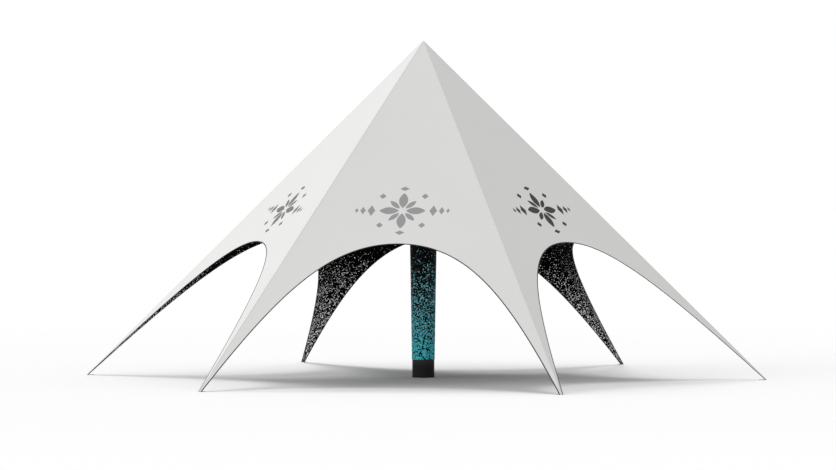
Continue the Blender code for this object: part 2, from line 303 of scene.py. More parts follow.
def stitch_shape(length, wide, high):
    """One stitch: a small arched thread, as points (along, across, up) and faces."""
    a, w, h = length / 2, wide / 2, high
    b = a * 0.45
    points = [(-a, 0, -h), (-b, -w, 0), (-b, w, 0), (-b, 0, h)]
    points += [(b, -w, 0), (b, w, 0), (b, 0, h), (a, 0, -h)]
    faces = [(0, 1, 3), (0, 3, 2), (1, 4, 6, 3), (3, 6, 5, 2), (4, 7, 6), (6, 7, 5)]
    return np.array(points), faces


def stitches(pile, places, along, up, length=0.0062, wide=0.0011, high=0.0006):
    """Lay a stitch at each place, with the unit vectors along the seam and out of the cloth."""
    along = np.broadcast_to(along, places.shape)
    up = np.broadcast_to(up, places.shape)
    across = np.cross(up, along)
    shape, faces = stitch_shape(length, wide, high)
    points = (
        places[:, None, :]
        + shape[None, :, 0:1] * along[:, None, :]
        + shape[None, :, 1:2] * across[:, None, :]
        + shape[None, :, 2:3] * up[:, None, :]
    )
    starts = range(0, len(places) * len(shape), len(shape))
    pile.add(points.reshape(-1, 3), [tuple(k + start for k in face) for start in starts for face in faces])


def gore_stitches(pile, line, turn, depth, bearing, side=1.0, **size):
    """Stitches on a gore along (s, t) points with (s, t) directions; side 1 is outside."""
    places = gore_xyz(line[:, 0], line[:, 1], depth, bearing)
    ahead = gore_xyz(line[:, 0] + turn[:, 0], line[:, 1] + turn[:, 1], depth, bearing) - places
    ahead /= np.linalg.norm(ahead, axis=1, keepdims=True)
    stitches(pile, places, ahead, gore_normal(bearing) * side, **size)


def add_piece(piece, slot, *nodes):
    """Let a piece ride on the body and stand for CAD nodes if it has any; slot is not used."""
    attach(piece, "root")
    if nodes:
        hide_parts(*nodes)


# Materials


class Graph:
    """A short way to write a material's nodes."""

    def __init__(self, name, **sockets):
        self.material = bpy.data.materials.new(name)
        self.material.use_nodes = True
        self.tree = self.material.node_tree
        self.shader = self.tree.nodes["Principled BSDF"]
        for key, value in sockets.items():
            self.feed(key.replace("_", " "), value)
        self.places = self.add("ShaderNodeTexCoord")

    def add(self, kind, **settings):
        """A node, with its sockets or its own settings set by name."""
        node = self.tree.nodes.new(kind)
        for key, value in settings.items():
            if key in node.inputs.keys():
                node.inputs[key].default_value = value
            else:
                setattr(node, key, value)
        return node

    def feed(self, key, value, node=None):
        """Link an output to a socket of a node, or of the shader, or set a number or colour there."""
        socket = (self.shader if node is None else node).inputs[key]
        if hasattr(value, "links"):
            self.tree.links.new(value, socket)
        else:
            socket.default_value = (*value, 1.0) if socket.type == "RGBA" else value

    def noise(self, scale, detail=2.0, roughness=0.5, stretch=None):
        """Noise over the object's own metres; stretch is how fast it runs along each axis."""
        where = self.places.outputs["Object"]
        if stretch:
            mapping = self.add("ShaderNodeMapping", Scale=stretch)
            self.feed("Vector", where, mapping)
            where = mapping.outputs["Vector"]
        node = self.add("ShaderNodeTexNoise", Scale=scale, Detail=detail, Roughness=roughness)
        self.feed("Vector", where, node)
        return node.outputs["Fac"]

    def ramp(self, value, low, high, to_low=0.0, to_high=1.0, smooth=False):
        """Run from to_low to to_high while a value runs from low to high, and stay there beyond."""
        node = self.add("ShaderNodeMapRange")
        if smooth:
            node.interpolation_type = "SMOOTHSTEP"
        numbers = {"Value": value, "From Min": low, "From Max": high, "To Min": to_low, "To Max": to_high}
        for key, number in numbers.items():
            self.feed(key, number, node)
        return node.outputs["Result"]

    def math(self, operation, first, second):
        node = self.add("ShaderNodeMath", operation=operation)
        self.feed(0, first, node)
        self.feed(1, second, node)
        return node.outputs[0]

    def mix(self, share, first, second):
        """A colour between two others; the mix node keeps its colour sockets at 6 and 7."""
        node = self.add("ShaderNodeMix", data_type="RGBA")
        for key, value in ((0, share), (6, first), (7, second)):
            self.feed(key, value, node)
        return node.outputs[2]

    def height(self):
        split = self.add("ShaderNodeSeparateXYZ")
        self.feed(0, self.places.outputs["Object"], split)
        return split.outputs["Z"]

    def reach(self):
        """How far a point is from its object's origin."""
        length = self.add("ShaderNodeVectorMath", operation="LENGTH")
        self.feed(0, self.places.outputs["Object"], length)
        return length.outputs["Value"]

    def flecks(self, levels):
        """Small worm-like flecks; levels holds (height, threshold), and a higher one leaves fewer."""
        curve = self.add("ShaderNodeFloatCurve")
        top = levels[-1][0]
        self.feed("Value", self.ramp(self.height(), 0.0, top), curve)
        points = curve.mapping.curves[0].points
        points[0].location = (levels[0][0] / top, levels[0][1])
        points[1].location = (1.0, levels[-1][1])
        for height, level in levels[1:-1]:
            points.new(height / top, level)
        curve.mapping.update()
        level = curve.outputs["Value"]
        return self.ramp(self.noise(FLECK_SCALE, 0.0), level, self.math("ADD", level, FLECK_EDGE))

    def weave(self, pitch):
        """Crossing threads, from 0 in the gaps to 1 on the crowns."""
        found = []
        for direction in ("X", "Y"):
            node = self.add("ShaderNodeTexWave", wave_type="BANDS", bands_direction=direction)
            self.feed("Scale", math.tau / 20.0 / pitch, node)
            self.feed("Vector", self.places.outputs["UV"], node)
            found.append(node.outputs["Fac"])
        return self.math("MULTIPLY", *found)

    def colour(self, output):
        self.feed("Base Color", output)

    def rough(self, value, low, high):
        self.feed("Roughness", self.ramp(value, 0.0, 1.0, low, high))

    def bump(self, layers):
        """layers holds (height output, metres of relief)."""
        total = None
        for output, relief in layers:
            scaled = self.math("MULTIPLY", output, relief)
            total = scaled if total is None else self.math("ADD", total, scaled)
        node = self.add("ShaderNodeBump", Strength=1.0, Distance=1.0)
        self.feed("Height", total, node)
        self.feed("Normal", node.outputs["Normal"])


def canopy_material():
    """Coated light cloth: fine weave, faint clouds, and a little dirt close to the ground."""
    colour = (0.612, 0.612, 0.605)
    warm_colour = (0.622, 0.621, 0.613)
    dirt_colour = (0.12, 0.11, 0.09)
    dirt_top, dirt_share = 0.16, 0.04
    g = Graph("canopy_cloth", Specular_IOR_Level=0.25, Sheen_Weight=0.08, Sheen_Roughness=0.5)
    clouds = g.noise(1.3, 3.0)
    base = g.mix(g.ramp(clouds, 0.3, 0.7), colour, warm_colour)
    threads = g.noise(260.0, 1.0, stretch=(1.0, 1.0, 0.35))
    base = g.mix(g.ramp(threads, 0.35, 0.75, 0.0, 0.05), base, tuple(c * 0.8 for c in colour))
    low = g.ramp(g.height(), 0.0, dirt_top, 1.0, 0.0, smooth=True)
    dirt = g.math("MULTIPLY", low, g.ramp(g.noise(14.0, 4.0), 0.35, 0.75))
    g.colour(g.mix(g.math("MULTIPLY", dirt, dirt_share), base, dirt_colour))
    g.rough(g.noise(30.0, 3.0), 0.62, 0.76)
    ripples = g.noise(2.2, 2.0, stretch=(1.0, 1.0, 0.5))
    g.bump([(g.weave(0.0012), 0.00004), (ripples, 0.0012), (g.noise(420.0, 1.0), 0.00003)])
    return g.material


def ink_material(name, colour):
    """Ink on the cloth: the weave shows through as small lighter specks."""
    g = Graph(name, Specular_IOR_Level=0.3)
    specks = g.ramp(g.noise(300.0, 2.0), 0.55, 0.75)
    lighter = tuple(min(1.0, c * 1.25 + 0.01) for c in colour)
    base = g.mix(specks, colour, lighter)
    g.colour(g.mix(g.ramp(g.noise(3.0, 3.0), 0.3, 0.7, 0.0, 0.06), base, lighter))
    g.rough(g.noise(40.0, 3.0), 0.52, 0.68)
    g.bump([(g.weave(0.0012), 0.00003), (g.noise(420.0, 1.0), 0.00002)])
    return g.material


def lining_material():
    """Black coated underside with light flecks that grow dense towards the leg tips; their thinning higher
    up is painted shade under the roof.
    """
    g = Graph("lining_cloth", Specular_IOR_Level=0.02)
    # The flecks thin out higher up: painted shade under the roof.
    share = g.flecks(LINING_FLECKS_AND_SHADE)
    black = g.mix(g.ramp(g.noise(5.0, 3.0), 0.3, 0.7), (0.0003, 0.0003, 0.0003), (0.0012, 0.0012, 0.0012))
    grey = g.mix(g.ramp(g.noise(9.0, 2.0), 0.3, 0.7), (0.74, 0.74, 0.74), (0.84, 0.84, 0.84))
    g.colour(g.mix(share, black, grey))
    g.rough(g.noise(30.0, 2.0), 0.82, 0.94)
    g.bump([(g.weave(0.0012), 0.00004), (g.noise(2.4, 2.0), 0.0015)])
    return g.material


def sleeve_material():
    """Stretch cloth printed in teal with black flecks, nearly black at the top; the teal greying and the
    black closing in higher up are painted shade.
    """
    g = Graph("sleeve_cloth", Specular_IOR_Level=0.12, Sheen_Weight=0.05)
    share = g.flecks(SLEEVE_FLECKS_AND_SHADE)
    # Painted shade: the teal turns from the lower colours to the greyer upper ones going up the sleeve.
    shade_up_sleeve = g.ramp(g.height(), 0.4, 1.6)
    clouds = g.ramp(g.noise(9.0, 2.0), 0.3, 0.7)
    light = g.mix(clouds, (0.07, 0.64, 0.69), (0.10, 0.69, 0.82))
    dark = g.mix(clouds, (0.27, 0.62, 0.68), (0.32, 0.68, 0.79))
    black = (0.0004, 0.0006, 0.0007)
    g.colour(g.mix(share, black, g.mix(shade_up_sleeve, light, dark)))
    g.rough(g.noise(60.0, 2.0), 0.65, 0.85)
    g.bump([(g.weave(0.0009), 0.00003), (g.noise(18.0, 2.0, stretch=(1.0, 1.0, 0.12)), 0.0006)])
    return g.material


def tape_material():
    """Black woven tape: ribs across, lighter on the rib crowns and in patches of wear."""
    colour, lighter, relief = (0.010, 0.010, 0.010), (0.03, 0.03, 0.03), 0.0001
    g = Graph("binding_tape", Specular_IOR_Level=0.25, Sheen_Weight=0.15)
    ribs = g.weave(0.0016)
    wear = g.math("MULTIPLY", g.ramp(g.noise(25.0, 4.0), 0.5, 0.8), 0.6)
    base = g.mix(g.math("MULTIPLY", ribs, 0.5), colour, lighter)
    g.colour(g.mix(wear, base, lighter))
    g.rough(g.noise(80.0, 2.0), 0.7, 0.9)
    g.bump([(ribs, relief), (g.noise(600.0, 1.0), relief * 0.3)])
    return g.material


def thread_material(name, colour):
    """Twisted thread, with painted shade in its grooves."""
    g = Graph(name, Roughness=0.6, Specular_IOR_Level=0.3, Sheen_Weight=0.2)
    twist = g.noise(900.0, 1.0, stretch=(1.0, 1.0, 0.3))
    # Painted shade: darker where the twist relief is low.
    g.colour(g.mix(g.ramp(twist, 0.3, 0.7), tuple(c * 0.75 for c in colour), colour))
    g.bump([(twist, 0.0001)])
    return g.material


def plastic_material():
    """Moulded plastic: fine grain, soft scuffs, and paler towards the drum's rim and above it, which is
    painted light.
    """
    colour, worn_and_rim_lit = (0.0228, 0.0228, 0.0232), (0.046, 0.046, 0.046)
    rim_light_from, rim_light_to = 0.15, 0.27
    g = Graph("moulded_plastic", Specular_IOR_Level=0.03)
    scuffs = g.ramp(g.noise(9.0, 6.0, 0.65, stretch=(1.0, 1.0, 2.4)), 0.55, 0.8)
    base = g.mix(g.math("MULTIPLY", scuffs, 0.35), colour, worn_and_rim_lit)
    # Painted light: the colour turns paler with height up to the drum's rim and stays so above it.
    g.colour(g.mix(g.ramp(g.height(), rim_light_from, rim_light_to, smooth=True), base, worn_and_rim_lit))
    g.rough(g.noise(26.0, 5.0), 0.36, 0.56)
    g.bump([(g.noise(900.0, 2.0), 0.00008), (g.noise(7.0, 2.0), 0.0004)])
    return g.material


def steel_material():
    """Zinc coated steel: a spangle of grey patches, dull where the ground rubs it."""
    g = Graph("galvanised_steel", Metallic=0.92, Specular_IOR_Level=0.5)
    spangle = g.add("ShaderNodeTexVoronoi", Scale=95.0)
    g.feed("Vector", g.places.outputs["Object"], spangle)
    grey = g.add("ShaderNodeRGBToBW")
    g.feed(0, spangle.outputs["Color"], grey)
    base = g.mix(grey.outputs[0], (0.36, 0.37, 0.38), (0.56, 0.57, 0.58))
    soil = g.ramp(g.noise(32.0, 5.0), 0.52, 0.78)
    g.colour(g.mix(g.math("MULTIPLY", soil, 0.5), base, (0.16, 0.14, 0.12)))
    g.rough(g.noise(40.0, 4.0), 0.34, 0.62)
    g.bump([(g.noise(260.0, 3.0), 0.0001), (g.noise(24.0, 2.0), 0.0003)])
    return g.material


def alloy_material():
    """Drawn tube: fine lines along its length and dull rub marks."""
    g = Graph("mast_alloy", Metallic=1.0)
    lines = g.noise(240.0, 2.0, stretch=(1.0, 1.0, 0.02))
    base = g.mix(g.ramp(lines, 0.3, 0.7), (0.5, 0.51, 0.52), (0.62, 0.63, 0.64))
    rubs = g.ramp(g.noise(12.0, 5.0, stretch=(1.0, 1.0, 3.0)), 0.58, 0.75)
    g.colour(g.mix(g.math("MULTIPLY", rubs, 0.4), base, (0.34, 0.34, 0.35)))
    g.rough(g.noise(60.0, 3.0), 0.28, 0.46)
    g.bump([(lines, 0.00004)])
    return g.material


canopy_cloth = canopy_material()
lining = lining_material()
# Lighter and darker copies of one ink, one for each way a gore faces: painted light on the front-facing
# gores, painted shade on the right-facing ones.
INKS_SHADED_BY_FACE = {
    "front": ink_material("print_lit_mid_grey", (0.25, 0.25, 0.25)),
    "left": ink_material("print_half_lit_grey", (0.125, 0.125, 0.125)),
    "right": ink_material("print_shaded_dark_grey", (0.03, 0.03, 0.031)),
}
INK_OF_GORE = ("right", "front", "left", "left", "front", "right")
tape = tape_material()
light_thread = thread_material("light_thread", (0.72, 0.72, 0.71))
dark_thread = thread_material("dark_thread", (0.02, 0.02, 0.02))
sleeve_print_and_shade = sleeve_material()
plastic = plastic_material()
steel = steel_material()
alloy = alloy_material()


# The ornament printed on each gore

ORNAMENT_T = 3.29


def petal(cx, cy, angle, near, far, wide):
    """A pointed leaf from near to far out along an angle."""
    share = np.linspace(0.0, 1.0, 11)
    along = near + (far - near) * share
    half = wide / 2 * np.sin(np.pi * share) ** 0.8
    up = np.stack([along, half], 1)
    down = np.stack([along[-2:0:-1], -half[-2:0:-1]], 1)
    shape = np.vstack([up, down])
    c, s = math.cos(angle), math.sin(angle)
    return shape @ np.array([[c, s], [-s, c]]) + [cx, cy]


def rhomb(cx, cy, wide, high):
    return np.array([(cx - wide / 2, cy), (cx, cy - high / 2), (cx + wide / 2, cy), (cx, cy + high / 2)])


def ornament():
    """Closed outlines in (s, t): a rosette with rhombs beside, above and below it."""
    shapes = []
    for k in range(4):
        shapes.append(petal(0.0, ORNAMENT_T, k * math.pi / 2, 0.05, 0.33, 0.13))
        shapes.append(petal(0.0, ORNAMENT_T, (k + 0.5) * math.pi / 2, 0.06, 0.26, 0.075))
    for side in (-1, 1):
        for away, wide, high in ((0.44, 0.11, 0.2), (0.56, 0.08, 0.14), (0.65, 0.05, 0.09)):
            shapes.append(rhomb(side * away, ORNAMENT_T, wide, high))
        for up in (0.27, -0.27):
            shapes.append(rhomb(side * 0.3, ORNAMENT_T + up, 0.1, 0.1))
        shapes.append(rhomb(0.0, ORNAMENT_T + side * 0.41, 0.14, 0.08))
    return shapes


def inside(points, outline):
    """Which points lie within a closed outline."""
    x, y = points[:, 0], points[:, 1]
    hit = np.zeros(len(points), bool)
    for (x0, y0), (x1, y1) in zip(outline, np.roll(outline, -1, axis=0)):
        crosses = (y0 > y) != (y1 > y)
        with np.errstate(divide="ignore", invalid="ignore"):
            hit ^= crosses & (x < (x1 - x0) * (y - y0) / (y1 - y0) + x0)
    return hit


# The canopy: one continuous sheet

# The inner points' pitch. Their rows' distance and their gap to any line are shares of it.
GRID = 0.075
GRID_ROW = 0.866
GRID_GAP = 0.4
GRID_MARGIN = 0.05
EDGE_PITCH = 0.045
RIDGE_POINTS = 84
NEAREST_POINTS = 1e-7
THINNEST_TRIANGLE = 2e-6
MERGE_DISTANCE = 0.00004


def grid_inside(outline, shapes):
    """Points of an even grid of triangles within an outline, clear of it and of the shapes in it."""
    rows = []
    t = GRID_MARGIN
    shift = 0.0
    while t < SLOPE_LENGTH - GRID_MARGIN:
        s = np.arange(shift, LEG_RADIUS / 2, GRID)
        s = np.concatenate([-s[::-1], s[s > 0]])
        rows.append(np.stack([s, np.full(len(s), t)], 1))
        t += GRID * GRID_ROW
        shift = GRID / 2 - shift
    spots = np.vstack(rows)
    spots = spots[inside(spots, outline)]
    border = np.vstack([outline] + shapes)
    gap = np.min(np.linalg.norm(spots[:, None, :] - border[None], axis=2), axis=1)
    return spots[gap > GRID * GRID_GAP]


def triangulate(loops, spots):
    """Triangles over closed loops and loose spots: points, triangles, and where each input point went."""
    points = np.vstack(loops + [spots])
    edges = []
    start = 0
    for loop in loops:
        edges += [(start + a, start + b) for a, b in pairs(len(loop))]
        start += len(loop)
    found = delaunay_2d_cdt([Vector(p) for p in points], edges, [], 0, NEAREST_POINTS)
    order = [-1] * len(points)
    for k, sources in enumerate(found[3]):
        for source in sources:
            order[source] = k
    return np.array([tuple(p) for p in found[0]]), np.array([tuple(f) for f in found[2]]), order


def gore_pattern(low):
    """One gore's flat mesh in (s, t), down to low.

    Gives its points, its triangles and which of them are ink, then the numbers of the points on its
    two ridges, from the peak, and of those on its open edge, which runs from ridge to ridge.
    """
    ridge_t = np.linspace(SLOPE_LENGTH, low, RIDGE_POINTS)
    right_ridge = np.stack([ridge_s(ridge_t), ridge_t], 1)
    edge, _ = even_arch(EDGE_PITCH, low)
    left_ridge = right_ridge[:0:-1] * [-1, 1]
    outline = np.vstack([right_ridge, edge[::-1], left_ridge])
    shapes = ornament()
    flat, triangles, order = triangulate([outline] + shapes, grid_inside(outline, shapes))
    triangles = triangles[inside(flat[triangles].mean(axis=1), outline)]
    a, b, c = (flat[triangles[:, k]] for k in range(3))
    turn = (b[:, 0] - a[:, 0]) * (c[:, 1] - a[:, 1]) - (b[:, 1] - a[:, 1]) * (c[:, 0] - a[:, 0])
    triangles[turn < 0] = triangles[turn < 0][:, ::-1]
    triangles = triangles[np.abs(turn) > THINNEST_TRIANGLE]
    centres = flat[triangles].mean(axis=1)
    ink = np.zeros(len(triangles), bool)
    for shape in shapes:
        ink |= inside(centres, shape)
    edge_start, edge_end = len(right_ridge), len(right_ridge) + len(edge)
    ridges = order[:edge_start] + order[edge_end:len(outline)]
    open_edge = order[edge_start - 1:edge_end + 1]
    return flat, triangles, ink, ridges, open_edge


def sag_of(flat, triangles, held):
    """How far a taut sheet held at some points hangs down, as a share of its most."""
    count = len(flat)
    stiff = np.zeros((count, count))
    load = np.zeros(count)
    smallest = 1e-12
    for k in range(3):
        i, j, o = triangles[:, k], triangles[:, (k + 1) % 3], triangles[:, (k + 2) % 3]
        u, v = flat[i] - flat[o], flat[j] - flat[o]
        area = np.abs(u[:, 0] * v[:, 1] - u[:, 1] * v[:, 0])
        weight = 0.5 * np.sum(u * v, axis=1) / np.maximum(area, smallest)
        np.add.at(stiff, (i, j), -weight)
        np.add.at(stiff, (j, i), -weight)
        np.add.at(stiff, (i, i), weight)
        np.add.at(stiff, (j, j), weight)
        np.add.at(load, o, area / 6.0)
    free = np.ones(count, bool)
    free[held] = False
    hang = np.zeros(count)
    hang[free] = np.linalg.solve(stiff[np.ix_(free, free)], load[free])
    return hang / hang.max()


def build_canopy():
    """All six gores as one closed mesh: printed cloth outside, lining inside and on the cut edge."""
    flat, triangles, ink, ridges, open_edge = gore_pattern(slope_t(CLEAR_OF_GROUND, CLOTH))
    hang = sag_of(flat, triangles, ridges + open_edge) * SAG
    peak = ridges[0]
    points, faces, tones = [], [], []
    materials = [canopy_cloth, lining, *INKS_SHADED_BY_FACE.values()]
    plain, under = 0, 1
    outer = 0
    for bearing, ink_name in zip(GORE_BEARINGS, INK_OF_GORE):
        for depth in (0.0, CLOTH):
            s, t = flat[:, 0].copy(), flat[:, 1].copy()
            s[ridges] = np.sign(s[ridges]) * ridge_s(t[ridges], depth)
            t[peak] -= depth * math.tan(SLOPE)
            points.append(gore_xyz(s, t, depth + hang, bearing))
        inner = outer + len(flat)
        faces += [tuple(f) for f in triangles + outer]
        tones += list(np.where(ink, materials.index(INKS_SHADED_BY_FACE[ink_name]), plain))
        faces += [tuple(f) for f in triangles[:, ::-1] + inner]
        tones += [under] * len(triangles)
        for a, b in zip(open_edge, open_edge[1:]):
            faces.append((outer + b, outer + a, inner + a, inner + b))
            tones.append(under)
        outer = inner + len(flat)
    uv = np.vstack([flat] * len(points))
    made = new_mesh("canopy", np.vstack(points), faces, materials, tones, uv)
    return turn_outward(made, sharp=20, merge=MERGE_DISTANCE)


canopy = build_canopy()
add_piece(canopy, "canopy_cloth", *[f"canopy_gore_{name}" for name in GORES])


# Seams on the ridges

# The profile's points are (inset from the ridge, depth), and a row of stitches is an inset
SEAM_HALF = 0.016
SEAM_DEPTH = -0.0008
SEAM_PROFILE = ((SEAM_HALF, 0.0008), (SEAM_HALF - 0.0015, -0.0003), (0.004, -0.0006), (0.0, SEAM_DEPTH))
SEAM_ROWS = (0.004, 0.012)
SEAM_FOOT = 0.004
SEAM_END = SLOPE_LENGTH - 0.03
SEAM_STITCH_END = SLOPE_LENGTH - 0.05


def build_ridge_seams():
    """A folded seam over each ridge and two rows of stitches on each side of it."""
    cover, thread = Pile(), Pile()
    t = np.linspace(slope_t(SEAM_FOOT), SEAM_END, 120)
    stitch_t = np.arange(slope_t(STITCH_FOOT), SEAM_STITCH_END, STITCH_PITCH)
    uv = swept_uv([inset for inset, _ in SEAM_PROFILE], t)
    quads = tube_faces(len(t), len(SEAM_PROFILE), closed=False)
    for leg_bearing in LEG_BEARINGS:
        for side in (-1, 1):
            bearing = leg_bearing - side * HALF_STEP
            rows = [
                gore_xyz(side * (ridge_s(t, depth) - inset), t, depth, bearing)
                for inset, depth in SEAM_PROFILE
            ]
            faces = quads if side > 0 else [quad[::-1] for quad in quads]
            cover.add(np.stack(rows, 1).reshape(-1, 3), faces, uv)
            for inset in SEAM_ROWS:
                line, turn = beside_ridge(stitch_t, side, inset)
                gore_stitches(thread, line, turn, SEAM_DEPTH, bearing)
    return cover.object("ridge_seams", canopy_cloth), thread.object("ridge_stitches", light_thread)


for piece in build_ridge_seams():
    add_piece(piece, "canopy_cloth")


# The bound edges of the arches

# Half the tape's section is (out past the cut edge, half its thickness there) points
BINDING_PITCH = 0.018
BINDING_FOOT = 0.001
BINDING_LOWEST = 0.0004
BINDING_HALF = (
    (-0.0012, 0.0022),
    (0.004, 0.0026),
    (0.0082, 0.0033),
    (0.0112, 0.0032),
    (0.0131, 0.0019),
    (0.0136, 0.0),
)
BINDING_PUCKER = 0.002
BINDING_STITCH_OUT = 0.0042
BINDING_STITCH_LIFT = 0.003


def build_bindings():
    """Tape folded round each arch's cut edge, with a row of stitches inside and outside."""
    middle = CLOTH / 2
    line, turn = even_arch(BINDING_PITCH, slope_t(BINDING_FOOT, 0.005))
    rim = towards_opening(turn)
    run = run_along(line)
    profile = [(out, -half) for out, half in BINDING_HALF]
    profile += [(out, half) for out, half in BINDING_HALF[-2::-1]]
    uv = swept_uv(run_along(np.array(profile)), run)
    pucker = 1.0 + 0.1 * np.sin(run * 190.0) + 0.06 * np.sin(run * 371.0 + 1.0)
    stitch_line, stitch_turn = even_arch(STITCH_PITCH, slope_t(STITCH_FOOT))
    stitch_line += towards_opening(stitch_turn) * BINDING_STITCH_OUT
    thread = Pile()
    for name, bearing in zip(GORES, GORE_BEARINGS):
        rows = []
        for out, half in profile:
            place = line + rim * (out + (pucker[:, None] - 1.0) * BINDING_PUCKER)
            rows.append(gore_xyz(place[:, 0], place[:, 1], middle + half * pucker, bearing))
        rows = np.stack(rows, 1)
        rows[:, :, 2] = np.maximum(rows[:, :, 2], BINDING_LOWEST)
        points, faces = swept(rows)
        piece = turn_outward(new_mesh(f"binding_{name}", points, faces, [tape], uv=uv))
        add_piece(piece, "binding_tape", f"edge_binding_{name}")
        for side in (1.0, -1.0):
            depth = middle - side * BINDING_STITCH_LIFT
            gore_stitches(thread, stitch_line, stitch_turn, depth, bearing, side)
    add_piece(thread.object("binding_stitches", dark_thread), "binding_tape")


build_bindings()


# The belts under the ridges, which end at the crown patch's lower edge

PATCH_DROP = 0.46
BELT_DEPTH = 0.0034
BELT_THICK = 0.0022
BELT_HALF = 0.018
BELT_FOOT = 0.0032
BELT_TOP = PEAK - PATCH_DROP - 0.001
BELT_STITCH_PITCH = 0.01
BELT_STITCH_FOOT = 0.09
BELT_STITCH_END = SLOPE_LENGTH - 0.66
BELT_STITCH_INSET = 0.0035


def belt_section():
    """The folded belt's section as (side, inset, depth) points: from the ridge, round both halves."""
    edge = BELT_THICK * 0.45
    under = BELT_DEPTH + BELT_THICK
    right = [(0.0, BELT_DEPTH), (BELT_HALF - edge, BELT_DEPTH)]
    right += [(BELT_HALF, BELT_DEPTH + BELT_THICK / 2), (BELT_HALF - edge, under)]
    return [(1, *p) for p in right] + [(1, 0.0, under)] + [(-1, *p) for p in right[:0:-1]]


def build_belts():
    """A folded belt under each ridge and a row of stitches along each half."""
    heights = np.linspace(BELT_FOOT, BELT_TOP, 150)
    run = heights / math.sin(math.atan2(PEAK, LEG_RADIUS))
    fold = 0.001
    around = [0.0, BELT_HALF - fold, BELT_HALF, BELT_HALF + fold]
    around += [2 * BELT_HALF + fold * k for k in range(4)]
    uv = swept_uv(around, run)
    under = BELT_DEPTH + BELT_THICK
    stitch_t = np.arange(slope_t(BELT_STITCH_FOOT), BELT_STITCH_END, BELT_STITCH_PITCH)
    thread = Pile()
    for name, leg_bearing in zip(LEGS, LEG_BEARINGS):
        rows = [
            under_ridge(side, inset, heights, depth, leg_bearing)
            for side, inset, depth in belt_section()
        ]
        points, faces = swept(np.stack(rows, 1))
        piece = turn_outward(new_mesh(f"belt_{name}", points, faces, [lining], uv=uv), sharp=50)
        add_piece(piece, "strap_webbing", f"ridge_strap_{name}")
        for side in (-1, 1):
            line, turn = beside_ridge(stitch_t, side, BELT_HALF - BELT_STITCH_INSET, under)
            bearing = leg_bearing - side * HALF_STEP
            gore_stitches(thread, line, turn, under + 0.0002, bearing, -1.0, length=0.007, wide=0.0013)
    add_piece(thread.object("belt_stitches", dark_thread), "strap_webbing")


build_belts()


# The sleeve on its drum

# The seam's section is (across, lift off the sleeve) points
DRUM_RADIUS = 0.161
DRUM_TOP = 0.264
DRUM_WALL = 0.004
SLEEVE_TOP = 4.31
SLEEVE_FOOT_RADIUS = 0.1664
SLEEVE_TAPER = 0.0173
SLEEVE_CLOTH = 0.0016
SLEEVE_HEM = 0.028
SLEEVE_SIDES = 144
SLEEVE_PRINT_RADIUS = 0.195
SLEEVE_SEAM_RADIUS = 0.19
SEAM_SECTION = ((-0.007, -0.0012), (-0.0062, 0.0004), (0.0, 0.0007), (0.0062, 0.0004), (0.007, -0.0012))


def sleeve_radius(height):
    return SLEEVE_FOOT_RADIUS + SLEEVE_TAPER * (height - DRUM_TOP)


def seam_bearing(across):
    """The bearing of a point beside the seam up the sleeve's back."""
    return math.pi / 2 + across / SLEEVE_SEAM_RADIUS


def sleeve_rows(turn):
    """Heights up the sleeve and its radii there: slight lengthways folds between two fuller hems."""
    ends = np.array([0.0, 0.0012, SLEEVE_HEM - 0.001, SLEEVE_HEM])
    middle = np.linspace(DRUM_TOP + SLEEVE_HEM + 0.02, SLEEVE_TOP - SLEEVE_HEM - 0.02, 76)
    heights = np.concatenate([DRUM_TOP + ends, middle, SLEEVE_TOP - ends[::-1]])
    radii = []
    for z in heights:
        share = (z - DRUM_TOP) / (SLEEVE_TOP - DRUM_TOP)
        loose = math.sin(math.pi * share) ** 0.5 if 0 < share < 1 else 0.0
        folds = 0.5 + 0.5 * np.sin(7 * turn + 1.1 * math.sin(2.2 * share) + 0.6)
        fine = 0.5 + 0.5 * np.sin(19 * turn - 2.0 * share)
        in_hem = min(z - DRUM_TOP, SLEEVE_TOP - z) < SLEEVE_HEM - 0.0005
        dip = loose * (0.0012 * folds + 0.0005 * fine) + (0.0 if in_hem else 0.0005)
        if z in (heights[0], heights[-1]):
            dip = dip + 0.0004
        radii.append(sleeve_radius(z) - dip)
    return heights, np.array(radii)


def build_sleeve():
    """A stretched tube of cloth with a hem at each end."""
    turn = np.linspace(0.0, math.tau, SLEEVE_SIDES, endpoint=False)
    heights, radii = sleeve_rows(turn)
    count = len(heights)
    points = [round_points(r, turn, heights[:, None]).reshape(-1, 3) for r in (radii, radii - SLEEVE_CLOTH)]
    faces = doubled_faces(count, SLEEVE_SIDES)
    shift = count * SLEEVE_SIDES
    last = shift - SLEEVE_SIDES
    ends = pairs(SLEEVE_SIDES)
    faces += [(a, shift + a, shift + b, b) for a, b in ends]
    faces += [(last + b, shift + last + b, shift + last + a, last + a) for a, b in ends]
    uv = swept_uv(turn * SLEEVE_PRINT_RADIUS, heights)
    made = new_mesh("mast_sleeve", np.vstack(points), faces, [sleeve_print_and_shade], uv=np.vstack([uv, uv]))
    return turn_outward(made, sharp=60)


def build_sleeve_seam():
    """A folded seam up the sleeve's back."""
    z = np.linspace(DRUM_TOP + 0.002, SLEEVE_TOP - 0.002, 90)
    strip = [round_points(sleeve_radius(z) + lift, seam_bearing(across), z) for across, lift in SEAM_SECTION]
    faces = [face[::-1] for face in tube_faces(len(z), len(SEAM_SECTION), closed=False)]
    uv = swept_uv([across for across, _ in SEAM_SECTION], z)
    return new_mesh("sleeve_seam", np.stack(strip, 1).reshape(-1, 3), faces, [sleeve_print_and_shade], uv=uv)


